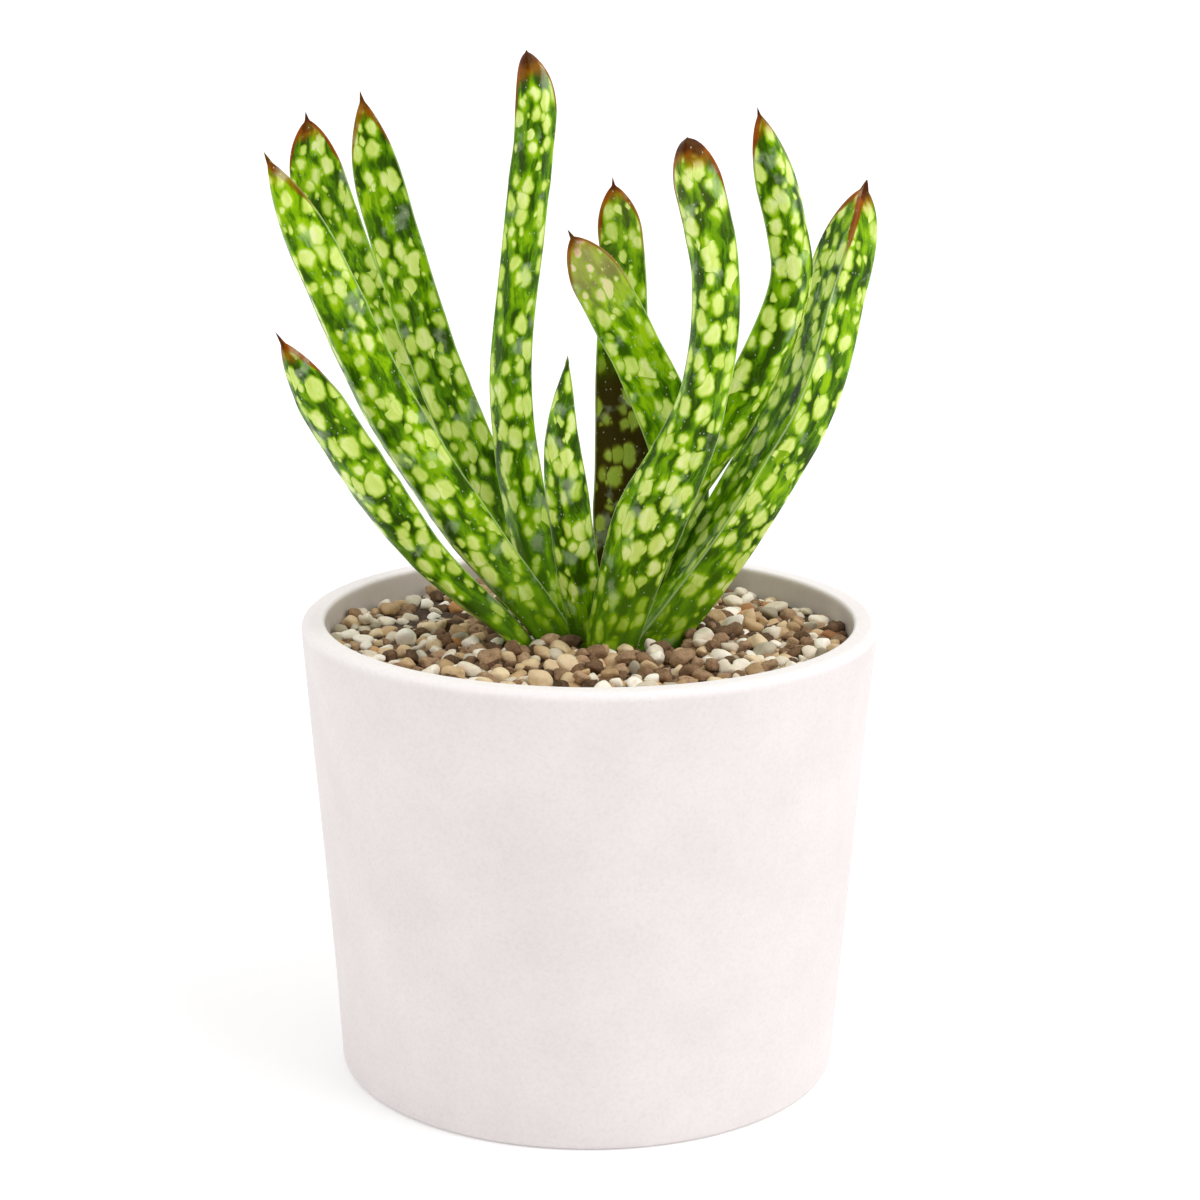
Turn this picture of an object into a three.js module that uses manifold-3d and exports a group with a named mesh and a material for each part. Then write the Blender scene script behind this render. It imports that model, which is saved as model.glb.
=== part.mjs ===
// A potted gasteria: a straight-tapered planter, compost, a grit top dressing with loose
// stones, and a clump of eleven thick keeled leaves on a short crown.
// Millimetres, +Z up. The origin is the centre of the pot's base, and the front is -Y.
import * as THREE from 'three';
import { mergeVertices } from 'three/addons/utils/BufferGeometryUtils.js';
import Module from 'manifold-3d';

const wasm = await Module();
wasm.setup();

// Pot
const RIM_RADIUS = 65;
const BASE_RADIUS = 57.1;
const POT_HEIGHT = 105;
const WALL = 5.3;
const FLOOR_THICKNESS = 6;
const FOOT_ROUND = 1.6;
const RIM_OUTER_ROUND = 1.9;
const RIM_INNER_ROUND = 0.8;
const POT_SIDES = 64;

// Filling
const FIT_GAP = 0.3;
const RIM_DROP = 3.6;
const GRIT_DEPTH = 9;
const GRIT_RIPPLE = 0.15;
const CROWN_RADIUS = 19;
const CROWN_SINK = 9;
const CROWN_DEPTH = 4.4;

// Loose stones on the grit
const STONE_COUNT = 24;
const STONE_RADIUS = 2.4;
const STONE_RING_INNER = 31;
const STONE_RIM_MARGIN = 6.4;

// Leaves
const LEAF_WIDTH_SCALE = 1;
const LEAF_THICKNESS_SCALE = 1;
const LEAF_EDGE = 0.55;
const LEAF_CHANNEL = 0.05;
const LEAF_SETBACK = 0.3;
const LEAF_STATIONS = 24;
const OUTER_STEPS = 8;
const INNER_STEPS = 6;

const GRIT_TOP = POT_HEIGHT - RIM_DROP;
const SOIL_TOP = GRIT_TOP - GRIT_DEPTH;
const CROWN_TOP = GRIT_TOP - CROWN_DEPTH;

// Each leaf: its centre line from the crown to the tip, with heights above the grit, the
// width at four places, the thickness at the base, middle and top, the way its keeled back
// faces in plan (0 is the front, 90 the right) at base and tip, how far the keel stands off
// the middle, the length of the tapered tip, the length of its sharp point, and the taper's
// power (a low one is a blunt tip).
const LEAVES = [
  {
    name: 'leaf_front',
    path: [
      [4.5, -11, -7], [5.1, -12.5, 1], [11.9, -17, 26.5], [23.4, -22, 55],
      [26.1, -25, 83], [19.6, -27, 113],
    ],
    width: [12, 16.1, 10.5, 10.6],
    thick: [6, 5.6, 4.6],
    facing: [-5, -5],
    keel: 0.35,
    tip: 11,
    point: 0.4,
    taper: 0.55,
  },
  {
    name: 'leaf_short_front',
    path: [
      [-0.5, -5, -7], [-0.8, -6, 1], [-3.7, -11, 22.5], [-6.3, -16, 46],
      [-5, -20, 66],
    ],
    width: [7.5, 9.5, 9.8, 8.6],
    thick: [4.4, 4.2, 3.2],
    facing: [0, -8],
    keel: -0.1,
    tip: 32,
    point: 1,
    taper: 0.9,
  },
  {
    name: 'leaf_low_left',
    path: [
      [-14, -6, -6], [-17.5, -8, 1], [-36, -15, 20], [-52.5, -23, 46],
      [-66.5, -29, 72],
    ],
    width: [5.5, 8.4, 12, 12],
    thick: [4.2, 4.2, 3.2],
    facing: [-15, -25],
    keel: 0.1,
    tip: 22,
    point: 2.5,
    taper: 0.8,
  },
  {
    name: 'leaf_long_left',
    path: [
      [-7, -3.5, -7], [-9.5, -4.5, 1], [-27.5, -10, 25.5], [-44.7, -14, 53.7],
      [-58, -17, 83.3], [-69.2, -19, 108.6],
    ],
    width: [9, 12.8, 13.6, 12.6],
    thick: [6.2, 6, 4.6],
    facing: [-15, -30],
    keel: 0.3,
    tip: 24,
    point: 2,
    taper: 0.85,
  },
  {
    name: 'leaf_far_right',
    path: [
      [10.8, -1.2, -6], [15, 0, 1], [30.8, 3, 23.8], [46.9, 6, 52.7],
      [54.6, 9, 79.6], [60.8, 9, 101],
    ],
    width: [12, 13.8, 15.6, 12.5],
    thick: [12.5, 13.2, 10.7],
    facing: [104, 118],
    keel: 0.6,
    tip: 20,
    point: 2,
    taper: 0.8,
  },
  {
    name: 'leaf_tall',
    path: [
      [-6, 3, -7], [-7.5, 3.5, 0], [-14, 4, 23], [-18, 4, 55],
      [-14.8, 3, 90], [-12.2, 3, 116], [-14.5, 4, 129],
    ],
    width: [9.5, 10.2, 9.2, 9.4],
    thick: [5.4, 5, 4],
    facing: [-10, 10],
    keel: 0.2,
    tip: 12.5,
    point: 0.5,
    taper: 0.65,
  },
  {
    name: 'leaf_right',
    path: [
      [9, 4, -7], [11.9, 4.5, 1], [18.8, 3, 26], [33.9, 0, 51.4],
      [43.7, -3, 76.4], [42.8, -4, 92.3], [35.3, -6, 117.7],
    ],
    width: [9, 11.1, 12, 10.2],
    thick: [5.6, 5.4, 4.4],
    facing: [25, 25],
    keel: 0,
    tip: 18,
    point: 1.5,
    taper: 0.8,
  },
  {
    name: 'leaf_inner_left',
    path: [
      [-9, 8.5, -7], [-11, 9.5, 1], [-22, 15, 27.6], [-35.7, 21, 59.4],
      [-46.7, 25, 93.4], [-52.6, 27, 118.5],
    ],
    width: [10, 12, 12.4, 12.6],
    thick: [5, 4.8, 3.8],
    facing: [160, 165],
    keel: 0,
    tip: 23,
    point: 2,
    taper: 0.8,
  },
  {
    name: 'leaf_bent',
    path: [
      [13, 10.5, -7], [14.5, 11, 1], [20.5, 14, 26], [17.4, 18, 44.4],
      [6, 21, 68], [-5.6, 23, 88],
    ],
    width: [9.5, 13.6, 13.3, 12.5],
    thick: [4.8, 4.6, 3.6],
    facing: [205, 190],
    keel: 0,
    tip: 13,
    point: 2,
    taper: 0.75,
  },
  {
    name: 'leaf_back',
    path: [
      [4, 12, -7], [5, 13, 1], [7.5, 19, 27.6], [7.2, 29, 57.2],
      [7.2, 36, 79], [4.7, 41, 98.2],
    ],
    width: [10, 14, 12.8, 10.6],
    thick: [4.8, 4.6, 3.6],
    facing: [185, 180],
    keel: 0,
    tip: 12,
    point: 2,
    taper: 0.75,
  },
  {
    name: 'leaf_back_left',
    path: [
      [-12.5, 14, -7], [-15, 15, 2], [-33, 24, 37.6], [-51.2, 33, 68.4],
      [-62.6, 40, 95.4], [-66.7, 44, 112.5],
    ],
    width: [10, 12, 13, 14.6],
    thick: [5, 4.8, 3.8],
    facing: [155, 160],
    keel: 0,
    tip: 15,
    point: 2,
    taper: 0.75,
  },
];

function material(color, roughness) {
  return new THREE.MeshStandardMaterial({ color, roughness, metalness: 0 });
}

const glaze = material(0xeee6e4, 0.6);
const compost = material(0x3b2a1e, 0.95);
const grit = material(0x8d7459, 0.9);
const crownTissue = material(0x8a9a4c, 0.7);
const leafSkin = material(0x5f9426, 0.4);
const stoneColours = [0xe9e0cf, 0xc9b79b, 0xa9764a, 0x7a5b45];
const stoneMaterials = stoneColours.map((colour) => material(colour, 0.85));

// The pot's outer radius at a height.
function outerRadius(z) {
  return BASE_RADIUS + ((RIM_RADIUS - BASE_RADIUS) * z) / POT_HEIGHT;
}

function innerRadius(z) {
  return outerRadius(z) - WALL;
}

// A solid turned about Z from a profile of [radius, height] that starts and ends on the axis.
function turned(profile, sides) {
  const points = profile.map(([radius, z]) => new THREE.Vector2(radius, z));
  return new THREE.LatheGeometry(points, sides).rotateX(Math.PI / 2);
}

// Points on a circular arc, both ends included, from one angle to another in degrees.
function arc(centreRadius, centreZ, radius, from, to, steps) {
  const points = [];
  for (let i = 0; i <= steps; i += 1) {
    const angle = THREE.MathUtils.degToRad(from + ((to - from) * i) / steps);
    points.push([centreRadius + radius * Math.cos(angle), centreZ + radius * Math.sin(angle)]);
  }
  return points;
}

function potGeometry() {
  const rimOutside = RIM_RADIUS - RIM_OUTER_ROUND;
  const rimInside = RIM_RADIUS - WALL + RIM_INNER_ROUND;
  const footCentre = outerRadius(FOOT_ROUND) - FOOT_ROUND;
  return turned([
    [0, 0],
    ...arc(footCentre, FOOT_ROUND, FOOT_ROUND, -90, 0, 3),
    ...arc(rimOutside, POT_HEIGHT - RIM_OUTER_ROUND, RIM_OUTER_ROUND, 0, 90, 5),
    ...arc(rimInside, POT_HEIGHT - RIM_INNER_ROUND, RIM_INNER_ROUND, 90, 180, 3),
    [innerRadius(FLOOR_THICKNESS + 3), FLOOR_THICKNESS + 3],
    [innerRadius(FLOOR_THICKNESS) - 3, FLOOR_THICKNESS],
    [0, FLOOR_THICKNESS],
  ], POT_SIDES);
}

function soilGeometry() {
  const bottom = FLOOR_THICKNESS + FIT_GAP;
  const socket = CROWN_RADIUS - 4 + FIT_GAP;
  return turned([
    [0, bottom],
    [innerRadius(FLOOR_THICKNESS) - 3.5, bottom],
    [innerRadius(FLOOR_THICKNESS + 3) - FIT_GAP, bottom + 3.2],
    [innerRadius(SOIL_TOP) - FIT_GAP, SOIL_TOP],
    [socket, SOIL_TOP],
    [socket, SOIL_TOP - CROWN_SINK],
    [0, SOIL_TOP - CROWN_SINK],
  ], POT_SIDES);
}

// The short stem: a blunt root end in the compost under a low dome that carries the leaves.
function crownGeometry(growth = 0) {
  const root = CROWN_RADIUS - 4 + growth;
  const bottom = SOIL_TOP - CROWN_SINK + FIT_GAP - growth;
  return turned([
    [0, bottom],
    [root - 5, bottom],
    [root, bottom + 5],
    [root, SOIL_TOP + FIT_GAP - growth],
    [CROWN_RADIUS + growth, SOIL_TOP + FIT_GAP - growth],
    [CROWN_RADIUS + growth, SOIL_TOP + FIT_GAP + 1],
    [CROWN_RADIUS - 2 + growth, CROWN_TOP - 1.4 + growth],
    [0, CROWN_TOP + growth],
  ], 32);
}

// The height of the grit's gently rippled top.
function gritHeight(x, y) {
  return GRIT_TOP + GRIT_RIPPLE * Math.sin(x * 0.31 + 0.8) * Math.cos(y * 0.27 - 0.4);
}

function gritGeometry() {
  const wall = innerRadius(SOIL_TOP + FIT_GAP) - FIT_GAP;
  const edge = innerRadius(GRIT_TOP) - FIT_GAP - 0.2;
  const geometry = turned([
    [0, SOIL_TOP + FIT_GAP],
    [wall, SOIL_TOP + FIT_GAP],
    [edge, GRIT_TOP],
    [edge * 0.78, GRIT_TOP],
    [edge * 0.54, GRIT_TOP],
    [edge * 0.28, GRIT_TOP],
    [0, GRIT_TOP],
  ], 48);
  const position = geometry.attributes.position;
  for (let i = 0; i < position.count; i += 1) {
    if (position.getZ(i) > GRIT_TOP - 1) {
      position.setZ(i, gritHeight(position.getX(i), position.getY(i)));
    }
  }
  return geometry;
}

// A value read from a list of [place, value] pairs with straight lines between them.
function along(pairs, place) {
  for (let i = 1; i < pairs.length; i += 1) {
    const [p0, v0] = pairs[i - 1];
    const [p1, v1] = pairs[i];
    if (place <= p1) {
      return v0 + ((v1 - v0) * (place - p0)) / (p1 - p0);
    }
  }
  return pairs[pairs.length - 1][1];
}

// One cross-section as [across, outward] pairs: a keeled back and a slightly hollow inner face,
// with rounded edges. The inner face lies the setback inside the centre line.
function leafSection(width, thickness, setback, edge, keel) {
  const points = [];
  for (let i = 0; i <= OUTER_STEPS; i += 1) {
    const c = Math.cos((Math.PI * i) / OUTER_STEPS);
    const side = Math.abs(c);
    const u = keel + c - keel * side;
    const back = 0.86 * thickness * (1 - side) * (1 + 0.6 * side);
    points.push([(u * width) / 2, edge * Math.sqrt(Math.max(0, 1 - u * u)) + back - setback]);
  }
  for (let i = 1; i < INNER_STEPS; i += 1) {
    const angle = Math.PI + (Math.PI * i) / INNER_STEPS;
    const s = Math.abs(Math.sin(angle));
    const v = -edge * s + LEAF_CHANNEL * thickness * s * s - setback;
    points.push([(Math.cos(angle) * width) / 2, v]);
  }
  return points;
}

// The leaf's cross-sections in space, from the crown to the last one before the tip.
function leafRings(leaf, growth) {
  const points = leaf.path.map(([x, y, z]) => new THREE.Vector3(x, y, z + GRIT_TOP));
  const curve = new THREE.CatmullRomCurve3(points, false, 'catmullrom', 0.5);
  curve.arcLengthDivisions = 400;
  const length = curve.getLength();
  const [w0, w1, w2, w3] = leaf.width;
  const widths = [[0, 0.85 * w0], [0.07, w0], [0.3, w1], [0.55, w2], [0.8, w3], [1, 0.97 * w3]];
  const thicknesses = [[0, leaf.thick[0]], [0.5, leaf.thick[1]], [1, leaf.thick[2]]];
  const base = curve.getPointAt(0).addScaledVector(curve.getTangentAt(0), -growth);
  const rings = [];
  for (let i = 0; i < LEAF_STATIONS; i += 1) {
    const place = 1 - (1 - i / LEAF_STATIONS) ** 1.55;
    const toTip = (1 - place) * length;
    const taper = THREE.MathUtils.clamp((toTip - leaf.point) / leaf.tip, 0.02, 1);
    const narrowing = (1 - (1 - taper) ** 2) ** leaf.taper;
    const width = along(widths, place) * LEAF_WIDTH_SCALE * narrowing + 2 * growth;
    const thickness = along(thicknesses, place) * LEAF_THICKNESS_SCALE * narrowing ** 0.7 + 2 * growth;
    const setback = LEAF_SETBACK * thickness;
    const edge = LEAF_EDGE * Math.min(1, 1.2 * narrowing) + growth;
    const azimuth = THREE.MathUtils.degToRad(along([[0, leaf.facing[0]], [1, leaf.facing[1]]], place));
    const tangent = curve.getTangentAt(place);
    const centre = i === 0 ? base.clone() : curve.getPointAt(place);
    const outward = new THREE.Vector3(Math.sin(azimuth), -Math.cos(azimuth), 0);
    outward.addScaledVector(tangent, -outward.dot(tangent)).normalize();
    const across = new THREE.Vector3().crossVectors(outward, tangent);
    const section = leafSection(width, thickness, setback, edge, leaf.keel);
    rings.push(section.map(([u, v]) => (
      centre.clone().addScaledVector(across, u).addScaledVector(outward, v))));
  }
  return { rings, base, tip: curve.getPointAt(1) };
}

// A closed skin over the rings, with a flat base and a pointed tip.
function leafGeometry(leaf, growth = 0) {
  const { rings, base, tip } = leafRings(leaf, growth);
  const sides = rings[0].length;
  const vertices = [...rings.flat(), base, tip];
  const baseIndex = vertices.length - 2;
  const tipIndex = vertices.length - 1;
  const triangles = [];
  for (let j = 0; j < sides; j += 1) {
    const k = (j + 1) % sides;
    triangles.push(baseIndex, k, j);
    for (let i = 0; i < rings.length - 1; i += 1) {
      const a = i * sides;
      const b = a + sides;
      triangles.push(a + j, a + k, b + k, a + j, b + k, b + j);
    }
    const last = (rings.length - 1) * sides;
    triangles.push(last + j, last + k, tipIndex);
  }
  const geometry = new THREE.BufferGeometry();
  const numbers = vertices.flatMap((point) => point.toArray());
  geometry.setAttribute('position', new THREE.Float32BufferAttribute(numbers, 3));
  geometry.setIndex(triangles);
  return geometry;
}

// A water-worn stone: an icosphere pushed in and out by its own number, then flattened.
function stoneGeometry(number) {
  const geometry = new THREE.IcosahedronGeometry(STONE_RADIUS, 1);
  const position = geometry.attributes.position;
  const point = new THREE.Vector3();
  for (let i = 0; i < position.count; i += 1) {
    point.fromBufferAttribute(position, i);
    const lump = Math.sin(point.x * 1.1 + number) + Math.cos(point.y * 1.3 + number * 2);
    point.multiplyScalar(1 + 0.06 * lump);
    position.setXYZ(i, point.x, point.y, point.z);
  }
  return geometry.scale(1.15, 0.92, 0.68).rotateZ(number * 1.9);
}

function toSolid(geometry) {
  const bare = geometry.clone();
  bare.deleteAttribute('normal');
  bare.deleteAttribute('uv');
  const merged = mergeVertices(bare);
  return new wasm.Manifold(new wasm.Mesh({
    numProp: 3,
    vertProperties: Float32Array.from(merged.attributes.position.array),
    triVerts: Uint32Array.from(merged.index.array),
  }));
}

function toGeometry(solid) {
  const mesh = solid.getMesh();
  const geometry = new THREE.BufferGeometry();
  geometry.setAttribute('position', new THREE.Float32BufferAttribute(Array.from(mesh.vertProperties), 3));
  geometry.setIndex(Array.from(mesh.triVerts));
  return geometry;
}

// The largest single body of a solid, in case a cut has freed a sliver.
function largestBody(solid) {
  return solid.decompose().reduce((best, next) => (next.volume() > best.volume() ? next : best));
}

const group = new THREE.Group();

function add(name, geometry, skin) {
  const mesh = new THREE.Mesh(geometry, skin);
  mesh.name = name;
  group.add(mesh);
  return mesh;
}

add('pot', potGeometry(), glaze);
add('compost', soilGeometry(), compost);
add('crown', crownGeometry(), crownTissue);

// Each leaf gives way to the crown and to the leaves before it in the list, and the grit gives
// way to all of them.
const seat = toSolid(crownGeometry(FIT_GAP));
const taken = [seat];
for (const leaf of LEAVES) {
  let solid = toSolid(leafGeometry(leaf));
  for (const neighbour of taken) {
    solid = solid.subtract(neighbour);
  }
  add(leaf.name, toGeometry(largestBody(solid)), leafSkin);
  taken.push(toSolid(leafGeometry(leaf, FIT_GAP)));
}

let bed = toSolid(gritGeometry());
for (const neighbour of taken) {
  bed = bed.subtract(neighbour);
}
add('grit_bed', toGeometry(largestBody(bed)), grit);

const GOLDEN_ANGLE = Math.PI * (3 - Math.sqrt(5));
const stoneRingOuter = innerRadius(GRIT_TOP) - STONE_RIM_MARGIN;
for (let i = 0; i < STONE_COUNT; i += 1) {
  const spread = Math.sqrt((i + 0.5) / STONE_COUNT);
  const radius = STONE_RING_INNER + (stoneRingOuter - STONE_RING_INNER) * spread;
  const x = radius * Math.cos(i * GOLDEN_ANGLE);
  const y = radius * Math.sin(i * GOLDEN_ANGLE);
  const geometry = stoneGeometry(i);
  geometry.computeBoundingBox();
  const lift = gritHeight(x, y) + GRIT_RIPPLE + FIT_GAP - geometry.boundingBox.min.z;
  const stone = add(`stone_${String(i + 1).padStart(2, '0')}`, geometry, stoneMaterials[i % 4]);
  stone.position.set(x, y, lift);
}

export default group;
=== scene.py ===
"""A potted gasteria: a matt cast planter, a grit top dressing of some three thousand stones, and
eleven thick spotted leaves. Sizes below are in millimetres and go to metres when a mesh is made."""

import math

import bpy
import numpy as np
from mathutils import Matrix, Vector


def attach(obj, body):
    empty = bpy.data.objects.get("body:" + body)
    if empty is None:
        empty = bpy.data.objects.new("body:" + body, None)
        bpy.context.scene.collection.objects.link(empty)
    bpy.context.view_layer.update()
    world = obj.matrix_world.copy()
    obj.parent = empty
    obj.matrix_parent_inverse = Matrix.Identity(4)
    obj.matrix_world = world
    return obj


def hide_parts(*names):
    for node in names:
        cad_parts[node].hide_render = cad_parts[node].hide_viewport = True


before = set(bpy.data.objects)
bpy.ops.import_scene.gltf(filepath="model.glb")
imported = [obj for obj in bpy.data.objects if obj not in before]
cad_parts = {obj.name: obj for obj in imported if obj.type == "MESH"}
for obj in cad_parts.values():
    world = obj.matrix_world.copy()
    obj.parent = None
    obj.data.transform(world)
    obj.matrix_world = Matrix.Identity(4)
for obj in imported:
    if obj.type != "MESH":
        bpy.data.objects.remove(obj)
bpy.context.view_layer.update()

MM = 0.001
RIM_RADIUS = 65.0
BASE_RADIUS = 57.1
POT_HEIGHT = 105.0
WALL = 5.3
FLOOR_THICKNESS = 6.0
FOOT_ROUND = 1.6
RIM_OUTER_ROUND = 1.9
RIM_INNER_ROUND = 0.8
GRIT_TOP = 101.4
GRIT_REACH = 58.9
STONE_COUNT = 3200
FINES_DEPTH = 3.2
FINES_BOTTOM = 8.6

# ---------------------------------------------------------------- meshes


def piece(name, points, faces, body="root"):
    """A smooth mesh object from points in millimetres that rides on the pot's body."""
    mesh = bpy.data.meshes.new(name)
    mesh.from_pydata((np.asarray(points, float) * MM).tolist(), [], faces)
    mesh.update()
    mesh.shade_smooth()
    made = bpy.data.objects.new(name, mesh)
    bpy.context.scene.collection.objects.link(made)
    if body:
        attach(made, body)
    return made


def ring_faces(rows, columns):
    """Quads between closed rings of points."""
    faces = []
    for i in range(rows - 1):
        for j in range(columns):
            k = (j + 1) % columns
            faces.append((i * columns + j, i * columns + k, (i + 1) * columns + k, (i + 1) * columns + j))
    return faces


def point_values(made, name, values):
    """Stores one number per point, for the material to read."""
    layer = made.data.attributes.new(name, "FLOAT", "POINT")
    layer.data.foreach_set("value", np.asarray(values, np.float32))


# ---------------------------------------------------------------- colours and nodes


def colour(text):
    """An sRGB hex colour as linear numbers."""
    parts = [int(text[i : i + 2], 16) / 255 for i in (0, 2, 4)]
    linear = [p / 12.92 if p <= 0.04045 else ((p + 0.055) / 1.055) ** 2.4 for p in parts]
    return (*linear, 1.0)


# the numbers of a colour mix's inputs, and the settings that a mix and a soft step need
FACTOR, UNDER, OVER = 0, 6, 7
COLOURS = {"data_type": "RGBA"}
SOFT = {"interpolation_type": "SMOOTHSTEP"}
FLAT = {"noise_dimensions": "2D"}


def node(tree, kind, inputs=(), stops=(), **settings):
    """Adds a shader node. inputs holds values in the order of the node's own inputs, or by name
    or number. A value may be another node's output, or a node, which gives its first live output.
    stops are a ramp's (place, hex colour) pairs, and settings are the node's own properties."""
    added = tree.nodes.new("ShaderNode" + kind)
    for name, value in settings.items():
        setattr(added, name, value)
    for name, value in inputs.items() if isinstance(inputs, dict) else enumerate(inputs):
        if isinstance(value, bpy.types.Node):
            value = next(output for output in value.outputs if output.enabled)
        if isinstance(value, bpy.types.NodeSocket):
            tree.links.new(value, added.inputs[name])
        else:
            added.inputs[name].default_value = value
    if stops:
        elements = added.color_ramp.elements
        elements.remove(elements[1])
        elements[0].position = stops[0][0]
        elements[0].color = colour(stops[0][1])
    for place, text in stops[1:]:
        elements.new(place).color = colour(text)
    return added


def new_material(name):
    """A material with an empty node tree."""
    made = bpy.data.materials.new(name)
    made.use_nodes = True
    made.node_tree.nodes.clear()
    return made, made.node_tree


# ---------------------------------------------------------------- pot


def pot_profile():
    """The pot's section as [radius, height], from the base's centre round to the inner floor's."""
    slope = (RIM_RADIUS - BASE_RADIUS) / POT_HEIGHT
    rim = RIM_OUTER_ROUND
    lip = RIM_INNER_ROUND
    points = [(0.0, 0.0), (20.0, 0.0), (40.0, 0.0)]
    foot = BASE_RADIUS + slope * FOOT_ROUND - FOOT_ROUND
    for i in range(9):
        angle = math.radians(-90 + 90 * i / 8)
        points.append((foot + FOOT_ROUND * math.cos(angle), FOOT_ROUND + FOOT_ROUND * math.sin(angle)))
    for i in range(1, 40):
        z = FOOT_ROUND + (POT_HEIGHT - rim - FOOT_ROUND) * i / 40
        points.append((BASE_RADIUS + slope * z + slope * rim * i / 40, z))
    for i in range(15):
        angle = math.radians(90 * i / 14)
        points.append((RIM_RADIUS - rim + rim * math.cos(angle), POT_HEIGHT - rim + rim * math.sin(angle)))
    for i in range(10):
        angle = math.radians(90 + 90 * i / 9)
        radius = RIM_RADIUS - WALL + lip + lip * math.cos(angle)
        points.append((radius, POT_HEIGHT - lip + lip * math.sin(angle)))
    for i in range(1, 12):
        z = POT_HEIGHT - lip - (POT_HEIGHT - lip - FLOOR_THICKNESS - 3) * i / 11
        points.append((BASE_RADIUS + slope * z - WALL, z))
    points += [(BASE_RADIUS - WALL - 2.6, FLOOR_THICKNESS), (20.0, FLOOR_THICKNESS), (0.0, FLOOR_THICKNESS)]
    return points


def make_pot():
    sides = 256
    profile = pot_profile()[1:-1]
    points = []
    for radius, z in profile:
        for j in range(sides):
            angle = 2 * math.pi * j / sides
            # a hand-cast wall: it runs up to 0.15 mm inside the true cone, and never outside it
            dip = 0.075 * (2 - math.sin(3 * angle + z * 0.05) - math.cos(5 * angle - z * 0.031))
            keep = radius - dip * min(1.0, z / 20) * min(1.0, max(0.0, (POT_HEIGHT - 4 - z) / 15))
            points.append((keep * math.cos(angle), keep * math.sin(angle), z))
    faces = ring_faces(len(profile), sides)
    bottom = len(points)
    points += [(0, 0, 0), (0, 0, FLOOR_THICKNESS)]
    last = (len(profile) - 1) * sides
    for j in range(sides):
        k = (j + 1) % sides
        faces.append((bottom, k, j))
        faces.append((bottom + 1, last + j, last + k))
    made = piece("pot_cast", points, faces)
    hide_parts("pot")
    made.data.materials.append(cast_stoneware())


def cast_stoneware():
    """Unglazed white-slipped stoneware, cast and smoothed by rubbing: a dry warm white with soft cloudy
    patches about 20 mm across, a fine grain just under a millimetre and a few pin pores, with a
    painted highlight along the rim and painted shade inside the wall."""
    made, tree = new_material("white_slipped_stoneware")
    where = node(tree, "TexCoord").outputs["Object"]
    axes = node(tree, "SeparateXYZ", [where])
    height = axes.outputs["Z"]
    clouds = node(tree, "TexNoise", {"Vector": where, "Scale": 1 / (22 * MM), "Detail": 4, "Roughness": 0.6})
    sandy = node(tree, "TexNoise", {"Vector": where, "Scale": 1 / (0.9 * MM), "Detail": 3, "Roughness": 0.7})
    base = node(tree, "ValToRGB", [clouds], [(0.3, "e7dfde"), (0.5, "eae3e2"), (0.7, "eee7e6")])
    speck = node(tree, "ValToRGB", [sandy], [(0.25, "d8d0cd"), (0.5, "f0f0f0"), (0.75, "ffffff")])

    # painted highlight: the rim's top is lightened towards white so that it stays bright all round
    rim_start, rim_full = (POT_HEIGHT - 2.4) * MM, (POT_HEIGHT - 0.6) * MM
    rim_highlight = node(tree, "MapRange", [height, rim_start, rim_full, 0.0, 0.75], **SOFT)
    rim_lightened = node(tree, "Mix", {FACTOR: rim_highlight, UNDER: base, OVER: colour("fff8f8")}, **COLOURS)
    tinted = node(tree, "Mix", {FACTOR: 0.26, UNDER: rim_lightened, OVER: speck}, blend_type="MULTIPLY", **COLOURS)

    # pin pores, one to each cell 2.6 mm across
    pores = node(tree, "TexVoronoi", {"Vector": where, "Scale": 1 / (2.6 * MM)})
    pits = node(tree, "MapRange", [pores, 0.05, 0.11], **SOFT)
    holes = node(tree, "Math", [1.0, pits], operation="SUBTRACT")
    pitted = node(tree, "Math", [holes, 0.10], operation="MULTIPLY")
    speckled = node(tree, "Mix", {FACTOR: pitted, UNDER: tinted, OVER: colour("b9aaa4")}, **COLOURS)

    # painted shade: the inside of the wall is darkened to a warm brown from just below the lip down to
    # about 70 mm up
    flat = node(tree, "CombineXYZ", [axes.outputs["X"], axes.outputs["Y"]])
    reach = node(tree, "VectorMath", [flat], operation="LENGTH")
    leaning = node(tree, "Math", [height, (RIM_RADIUS - BASE_RADIUS) / POT_HEIGHT], operation="MULTIPLY")
    from_cone = node(tree, "Math", [reach, leaning], operation="SUBTRACT")
    unshaded_at, fully_shaded_at = (BASE_RADIUS - WALL + 0.8) * MM, (BASE_RADIUS - WALL + 0.2) * MM
    inside = node(tree, "MapRange", [from_cone, unshaded_at, fully_shaded_at, 0.0, 0.4], **SOFT)
    lip, below_lip = (POT_HEIGHT - 0.3) * MM, (POT_HEIGHT - 1.4) * MM
    under = node(tree, "MapRange", [height, lip, below_lip], **SOFT)
    above = node(tree, "MapRange", [height, 60 * MM, 80 * MM], **SOFT)
    band = node(tree, "Math", [under, above], operation="MULTIPLY")
    painted_inner_shade = node(tree, "Math", [inside, band], operation="MULTIPLY")
    with_inner_shade = node(tree, "Mix", {FACTOR: painted_inner_shade, UNDER: speckled, OVER: colour("9a8878")}, **COLOURS)

    sandy_height = node(tree, "Math", [sandy, 0.6], operation="MULTIPLY")
    pit_height = node(tree, "Math", [pits, 0.5], operation="MULTIPLY")
    rough = node(tree, "Math", [sandy_height, pit_height], operation="ADD")
    bump = node(tree, "Bump", {"Strength": 0.35, "Distance": 0.12 * MM, "Height": rough})
    shader = node(tree, "BsdfPrincipled", {
        "Base Color": with_inner_shade, "Roughness": 0.62, "Specular IOR Level": 0.35, "Normal": bump,
    })
    node(tree, "OutputMaterial", [shader])
    return made


# ---------------------------------------------------------------- leaves

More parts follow.
